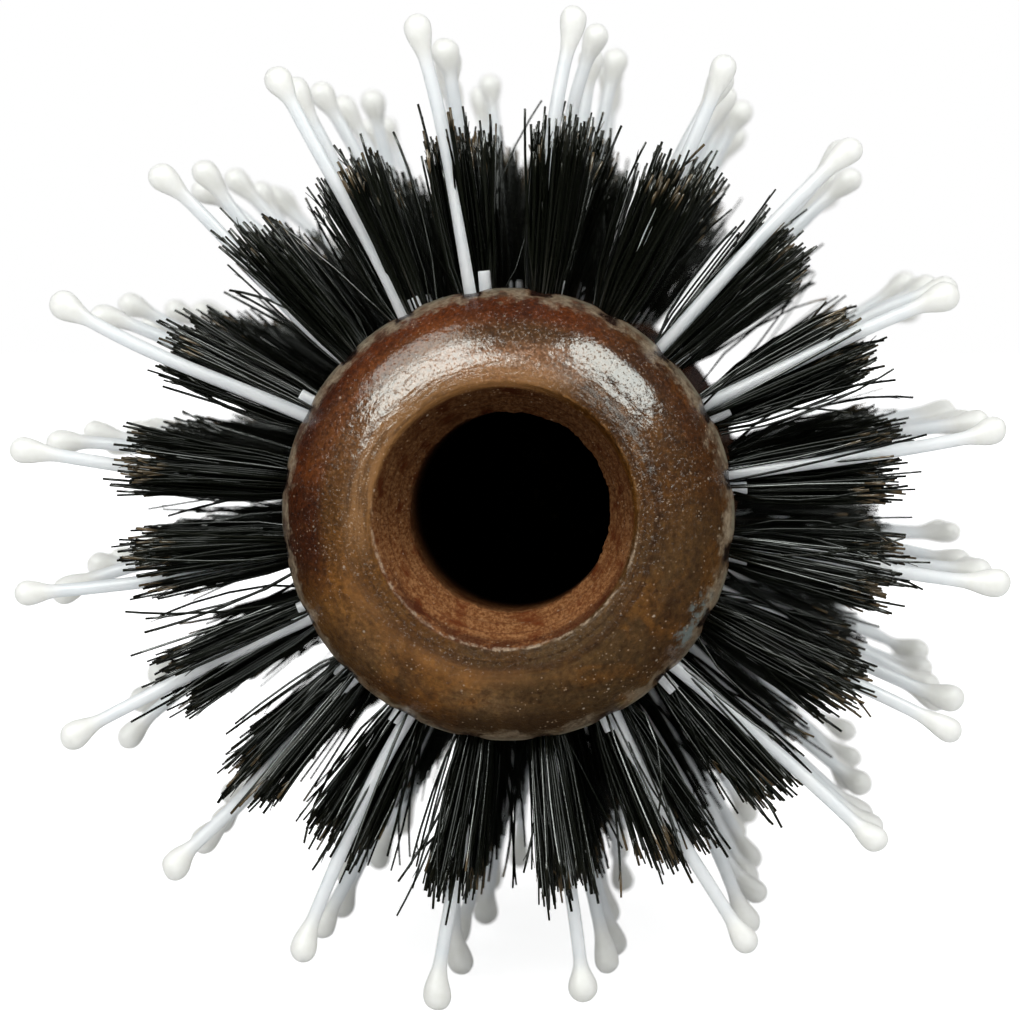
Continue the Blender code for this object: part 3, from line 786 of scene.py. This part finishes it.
def make_row_of_pins(row, places, mat, rng):
    tubes = Tubes()
    for i, (across, front, lean, reach, tilt) in enumerate(places):
        z0 = -(FIRST + i * PITCH) / MM + front
        root = np.array([11.9, across - 0.05, z0])
        tip = np.array([reach * math.cos(lean), reach * math.sin(lean),
                        z0 + 0.5 * front + tilt * 1.6])
        length = np.linalg.norm(tip - root)
        drop = 3.2 + rng.uniform(-0.35, 0.45)
        ball = 0.86 * rng.uniform(0.92, 1.09)
        u_tip = np.array([0.0, 0.03, 0.10, 0.22, 0.38, 0.58, 0.80, 1.0, 1.2,
                          1.42, 1.66, 1.92, 2.2, 2.5, 2.85, drop])
        u_tip = np.sort(np.unique(np.minimum(u_tip, drop)))
        u_shaft = np.linspace(drop + 0.25, length, 14)
        u = np.concatenate([u_tip, u_shaft])
        rad = np.full(len(u), 0.425)
        head = u <= ball
        rad[head] = np.sqrt(np.clip(ball ** 2 - (ball - u[head]) ** 2, 0, None))
        neck = (u > ball) & (u <= drop)
        f = (u[neck] - ball) / (drop - ball)
        rad[neck] = 0.425 + (ball - 0.425) * (
            0.5 + 0.5 * np.cos(f * math.pi)) ** 1.35
        rad[0] = 0.06
        s = 1.0 - u / length
        centre = root[None] + (tip - root)[None] * s[:, None]
        bow = rng.normal(0, 0.30, 2)
        kink = rng.normal(0, 0.10, 2)
        curve = s * (1 - s) * 4
        wig = np.sin(s * math.pi * 2)
        centre[:, 1] += bow[0] * curve + kink[0] * wig
        centre[:, 2] += bow[1] * curve + kink[1] * wig
        lump = np.exp(-(u / 1.15) ** 2)
        centre[:, 1] += lump * rng.normal(0.10, 0.15)
        centre[:, 2] += lump * rng.normal(0.0, 0.12)
        bend = np.clip(1.0 - u / 7.0, 0, 1) ** 2
        centre[:, 1] += bend * rng.normal(0, 0.12 if i == 0 else 0.5)
        dip = np.clip((drop + 0.4 - u) / 1.5, 0, 1)
        order = slice(None, None, -1)
        tubes.add(centre[None, order] * MM, rad[None, order] * MM, 16,
                  dip=dip[None, order])
        # short cut leg of the folded filament, on the clockwise side
        top = 15.0 + rng.uniform(-0.25, 0.3)
        lean_leg = rng.normal(0, 0.10)
        foot = np.array([11.9, -0.46, z0 - 0.05])
        end = np.array([top, -0.62 + lean_leg, z0 + 0.08 + rng.normal(0, 0.1)])
        f = np.array([0.0, 0.4, 0.8, 0.972, 0.99, 1.0])
        leg = foot[None] + (end - foot)[None] * f[:, None]
        lr = np.array([0.39, 0.39, 0.39, 0.39, 0.375, 0.34])
        tubes.add(leg[None] * MM, lr[None] * MM, 16,
                  dip=np.zeros((1, len(f))))
    return tubes.object("nylon_pins_%02d" % (row + 1),
                        math.radians(ROW_START + 18.0 * row), mat)


def make_row_of_tufts(row, places, mat, rng):
    tubes = Tubes()
    steps = np.array([0.0, 0.16, 0.36, 0.58, 0.80, 0.93, 1.0])
    for i in range(TUFTS):
        count = 155 if i == 0 else (120 if i == 1 else 100)
        pin_y, pin_z = places[i][0], places[i][1]
        z0 = -(FIRST + i * PITCH) / MM
        a = rng.uniform(0, math.tau, count * 3)
        d = np.sqrt(rng.uniform(0, 1, count * 3))
        by = (1.18 if i == 0 else 1.00) * d * np.cos(a)
        bz = 1.30 * d * np.sin(a)
        keep = np.hypot(by - pin_y, bz - pin_z) > 0.50
        keep &= np.hypot(by + 0.52, bz - pin_z) > 0.46
        if pin_z > 0.4:
            keep &= ~((np.abs(by - pin_y) < 0.36) & (bz > pin_z))
        by, bz = by[keep][:count], bz[keep][:count]
        n = len(by)
        shade = rng.uniform(0, 1, n)
        lean_y, lean_z = rng.normal(0, 0.42), rng.normal(0, 0.35)
        spread_y, spread_z = rng.uniform(1.55, 2.05), rng.uniform(3.3, 4.0)
        ty = by * spread_y + lean_y + rng.normal(0, 0.36, n)
        tz = bz * spread_z + lean_z + rng.normal(0, 0.55, n)
        reach = 23.70 + rng.normal(0, 0.78, n) - 0.06 * (ty ** 2 + 0.2 * tz ** 2)
        lock = np.floor((np.arctan2(bz, by) / math.tau + 0.5) * 9).astype(int)
        reach += rng.normal(0, 0.38, 10)[lock]
        ty += rng.normal(0, 0.22, 10)[lock]
        # the pin's path stays open through the middle of the bunch
        strays = rng.uniform(0, 1, n) < (0.075 if i < 2 else 0.04)
        ty[strays] += rng.normal(0, 1.5, strays.sum())
        tz[strays] += rng.normal(0, 1.3, strays.sum())
        reach[strays] += rng.uniform(-1.5, 1.9, strays.sum())
        if i == 0 and pin_z > 0.4:
            # hairs part on either side of the pin that stands before them
            lean = places[0][2]
            line = math.tan(lean) * 24.0
            close = (np.abs(ty - line) < 0.5) & (tz > pin_z - 0.3)
            ty[close] += np.sign(ty[close] - line) * 0.45
        base_x = 11.8
        power = rng.uniform(1.02, 1.28, n) + (0.0 if i == 0 else 0.15)
        s = steps[None, :]
        x = base_x + (reach[:, None] - base_x) * s
        flare = s ** power[:, None]
        y = by[:, None] + (ty - by)[:, None] * flare
        z = bz[:, None] + (tz - bz)[:, None] * flare
        bow_y, bow_z = rng.normal(0, 0.16, n), rng.normal(0, 0.16, n)
        bow_y[strays] *= 4.0
        bow_z[strays] *= 3.0
        arch = s * (1 - s) * 4
        y += bow_y[:, None] * arch
        z += bow_z[:, None] * arch
        # hairs start inside the drilled hole
        squeeze = np.clip((x - 11.8) / 2.2, 0.72, 1.0)
        y *= squeeze
        centre = np.stack([x, y, z + z0], axis=2)
        thick = rng.uniform(0.072, 0.108, n)
        taper = np.array([1.0, 1.0, 0.99, 0.97, 0.94, 0.90, 0.84])
        worn = rng.uniform(0, 1, 10) < 0.22
        sun = np.where(worn[lock], rng.uniform(0.4, 1.0, n), 0.0)
        sun = np.where(rng.uniform(0, 1, n) < 0.05, 0.7, sun)
        radii = thick[:, None] * taper[None, :]
        shades = np.repeat(shade[:, None], len(steps), axis=1)
        tubes.add(centre * MM, radii * MM, 5, along=np.broadcast_to(
            steps, radii.shape), shade=shades,
            worn=np.repeat(sun[:, None], len(steps), axis=1))
        # split ends
        share = 0.30 if i < 2 else 0.18
        for _ in range(2):
            split = np.where(rng.uniform(0, 1, n) < share)[0]
            m = len(split)
            start = centre[split, 5] * 0.55 + centre[split, 4] * 0.45
            out = centre[split, 6] - centre[split, 5]
            out /= np.linalg.norm(out, axis=1, keepdims=True)
            size = rng.uniform(0.7, 1.4, m)[:, None]
            away = np.stack([np.zeros(m), rng.normal(0, 0.16, m),
                             rng.normal(0, 0.16, m)], axis=1)
            f = np.array([0.0, 0.5, 1.0])
            line = (start[:, None] + out[:, None] * size[:, None] * f[None, :, None]
                    + away[:, None] * (f[None, :, None] ** 1.4))
            rr = thick[split][:, None] * np.array([0.50, 0.38, 0.20])[None]
            al = np.broadcast_to(np.array([0.90, 0.97, 1.02]), (m, 3))
            tubes.add(line * MM, rr * MM, 4, along=al,
                      shade=np.repeat(np.clip(shade[split] + 0.25, 0, 1)[:, None],
                                      3, axis=1),
                      worn=np.repeat(sun[split][:, None], 3, axis=1))
    return tubes.object("boar_tufts_%02d" % (row + 1),
                        math.radians(ROW_START + 18.0 * row), mat)


barrel_wood = wood_material("lacquered_barrel_wood", True)
handle_wood = wood_material("lacquered_handle_wood", False)
boar = bristle_material()
nylon = nylon_material()

barrel = make_barrel(barrel_wood)
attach(barrel, "root")
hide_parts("barrel")

handle = make_handle(handle_wood)
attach(handle, "root")
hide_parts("handle")

for row in range(ROWS):
    rng = np.random.RandomState(100 + row)
    places = pin_places(row, rng)
    pins = make_row_of_pins(row, places, nylon, rng)
    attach(pins, "root")
    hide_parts("pin_row_%02d" % (row + 1))
    tufts = make_row_of_tufts(row, places, boar, rng)
    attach(tufts, "root")
    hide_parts("bristle_row_%02d" % (row + 1))


# ------------------------------------------------------------- floor, lights
def make_floor():
    g = Graph("studio_floor")
    p = g.place()
    tone = g.noise(p, 6.0, 3.0, 0.5)
    colour = g.mix(g.ramp(tone, 0.3, 0.7), (0.86, 0.86, 0.86),
                   (0.89, 0.89, 0.89))
    diffuse = g.node("ShaderNodeBsdfDiffuse")
    g.put(diffuse.inputs["Color"], colour)
    glow = g.node("ShaderNodeEmission")
    glow.inputs["Color"].default_value = (1, 1, 1, 1)
    path = g.node("ShaderNodeLightPath")
    px, py, _ = g.split(p)
    far = g.math("SQRT", g.math("ADD", g.math("MULTIPLY", px, px),
                                g.math("POWER", g.math("ADD", py, 0.1), 2.0)))
    g.put(glow.inputs["Strength"], g.math(
        "MULTIPLY", path.outputs["Is Camera Ray"],
        g.ramp(far, 0.10, 0.45, 0.36, 1.05)))
    next(n for n in g.tree.nodes if n.type == "MAP_RANGE"
         and abs(n.inputs[3].default_value - 0.36) < 1e-6).name = "near glow"
    add = g.node("ShaderNodeAddShader")
    g.link(diffuse.outputs[0], add.inputs[0])
    g.link(glow.outputs[0], add.inputs[1])
    g.link(add.outputs[0], g.out.inputs[0])
    mesh = bpy.data.meshes.new("studio_floor")
    bm = bmesh.new()
    bmesh.ops.create_grid(bm, x_segments=8, y_segments=8, size=6.0)
    bm.to_mesh(mesh)
    bm.free()
    mesh.materials.append(g.mat)
    floor = bpy.data.objects.new("studio_floor", mesh)
    floor.location = (0, 0, cad_low.z - 0.4 * MM)
    bpy.context.scene.collection.objects.link(floor)
    floor.visible_glossy = False
    return g.mat


floor_mat = make_floor()

world = bpy.data.worlds.new("studio")
bpy.context.scene.world = world
world.use_nodes = True
tree = world.node_tree
tree.nodes.clear()
path = tree.nodes.new("ShaderNodeLightPath")
seen = tree.nodes.new("ShaderNodeBackground")
seen.inputs[0].default_value = (1, 1, 1, 1)
seen.inputs[1].default_value = 1.0
fill = tree.nodes.new("ShaderNodeBackground")
fill.inputs[0].default_value = (0.97, 0.985, 1.0, 1)
fill.inputs[1].default_value = 0.68
mirror = tree.nodes.new("ShaderNodeBackground")
mirror.inputs[0].default_value = (0.93, 0.97, 1.0, 1)
mirror.inputs[1].default_value = 0.025
unlit = tree.nodes.new("ShaderNodeMixShader")
tree.links.new(path.outputs["Is Glossy Ray"], unlit.inputs[0])
tree.links.new(fill.outputs[0], unlit.inputs[1])
tree.links.new(mirror.outputs[0], unlit.inputs[2])
blend = tree.nodes.new("ShaderNodeMixShader")
out = tree.nodes.new("ShaderNodeOutputWorld")
tree.links.new(path.outputs["Is Camera Ray"], blend.inputs[0])
tree.links.new(unlit.outputs[0], blend.inputs[1])
tree.links.new(seen.outputs[0], blend.inputs[2])
tree.links.new(blend.outputs[0], out.inputs[0])

target = Vector((0, TIP_Y, 0))


def softbox(name, direction, distance, size_x, size_y, power,
            colour=(1.0, 0.995, 0.955)):
    data = bpy.data.lights.new(name, "AREA")
    data.shape = "RECTANGLE"
    data.size = size_x
    data.size_y = size_y
    data.energy = power
    data.color = colour
    lamp = bpy.data.objects.new(name, data)
    away = Vector(direction).normalized()
    lamp.location = target + away * distance
    # the long side runs round the brush's axis
    axis = Vector((0, 1, 0))
    long_side = axis.cross(away).normalized()
    third = away.cross(long_side).normalized()
    lamp.rotation_euler = Matrix((long_side, third, away)).transposed().to_euler()
    bpy.context.scene.collection.objects.link(lamp)
    return lamp


def around(polar, off_axis):
    """Direction from the tip: polar angle seen from the tip, tilt off the axis."""
    a, b = math.radians(polar), math.radians(off_axis)
    return (math.sin(b) * math.cos(a), -math.cos(b), math.sin(b) * math.sin(a))


# each softbox is a bright pane for the highlights and a weaker, softer one
COOL = (0.94, 1.0, 0.95)
glint = softbox("softbox_left", around(126, 40),
                0.50, 0.30, 0.30, 3.5, COOL)
glint.visible_diffuse = False
soft = softbox("softbox_left_soft", around(124, 43), 0.50, 0.40, 0.30, 0.80)
soft.visible_glossy = False
glint = softbox("softbox_left_edge", around(124, 67),
                0.50, 0.28, 0.20, 0.80, COOL)
glint.visible_diffuse = False
glint = softbox("softbox_right", around(55, 61.5),
                0.50, 0.26, 0.28, 2.75, COOL)
glint.visible_diffuse = False
glint = softbox("softbox_right_edge", around(48, 23),
                0.50, 0.20, 0.06, 0.26, COOL)
glint.visible_diffuse = False
soft = softbox("softbox_right_soft", around(50, 54), 0.50, 0.40, 0.30, 0.58)
soft.visible_glossy = False
soft = softbox("overhead", (0.1, 0.85, 1.0), 0.8, 0.8, 0.8, 0.30)
soft.visible_glossy = False

# --------------------------------------------------------------------- camera
F_PX = 3487.0
CENTRE = (510.0, 512.0)
VANISH = (748.0, 346.0)
TIP_AT = (501.5, 519.0)
REACH = 0.2105
a = (VANISH[0] - CENTRE[0]) / F_PX
b = -(VANISH[1] - CENTRE[1]) / F_PX
el = math.atan(b)
az = math.atan(a * math.cos(el))
forward = Vector((-math.sin(az) * math.cos(el), math.cos(az) * math.cos(el),
                  -math.sin(el)))
right = Vector((math.cos(az), math.sin(az), 0.0))
up = right.cross(forward)
data = bpy.data.cameras.new("photo_camera")
data.sensor_width = 36.0
data.sensor_fit = "AUTO"
data.lens = F_PX * 36.0 / 1024.0
data.clip_start = 0.01
data.clip_end = 50.0
camera = bpy.data.objects.new("photo_camera", data)
bpy.context.scene.collection.objects.link(camera)
offset = forward + right * ((TIP_AT[0] - CENTRE[0]) / F_PX) \
    - up * ((TIP_AT[1] - CENTRE[1]) / F_PX)
camera.location = target - offset * REACH
camera.rotation_euler = Matrix((right, up, -forward)).transposed().to_euler()
bpy.context.scene.camera = camera

focus = bpy.data.objects.new("focus", None)
focus.location = (0, TIP_Y + 6.0 * MM, 0)
bpy.context.scene.collection.objects.link(focus)
data.dof.use_dof = True
data.dof.focus_object = focus


def by_distance(curve, expression):
    """Drives a value by d, the distance from the camera to the tip."""
    drive = curve.driver
    drive.type = "SCRIPTED"
    reach = drive.variables.new()
    reach.name = "d"
    reach.type = "LOC_DIFF"
    reach.targets[0].id = camera
    reach.targets[1].id = focus
    drive.expression = expression


# a close-up has little depth of field and a burnt-out white floor
by_distance(data.dof.driver_add("aperture_fstop"), "60 if d < 0.3 else 900")
by_distance(floor_mat.node_tree.nodes["near glow"].inputs[3].driver_add(
    "default_value"), "0.80 if d < 0.3 else 0.36")

bpy.context.scene.view_settings.view_transform = "Standard"
bpy.context.scene.view_settings.look = "None"
